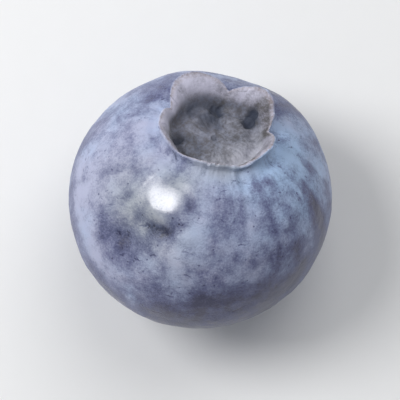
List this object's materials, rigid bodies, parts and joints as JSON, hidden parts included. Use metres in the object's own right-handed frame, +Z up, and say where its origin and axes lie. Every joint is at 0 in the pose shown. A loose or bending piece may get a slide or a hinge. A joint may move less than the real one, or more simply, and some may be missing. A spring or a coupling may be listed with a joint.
{
  "type": "bilberry",
  "caption": "Round blue berry with a pale waxy bloom, a lobed crown round a sunken disc, a dry stem scar and a small flat spot that it rests on.",
  "frame": {"origin": "middle of the small flat spot that the berry rests on", "axes": "+Z up from the surface that the berry rests on; its crown leans 29 degrees from +Z, back towards +Y and a little towards +X"},
  "size_m": [0.0136, 0.0136, 0.0126],
  "materials": {
    "skin": "satin"
  },
  "bodies": {
    "root": {"bilberry_fruit": "skin"}
  },
  "joints": []
}
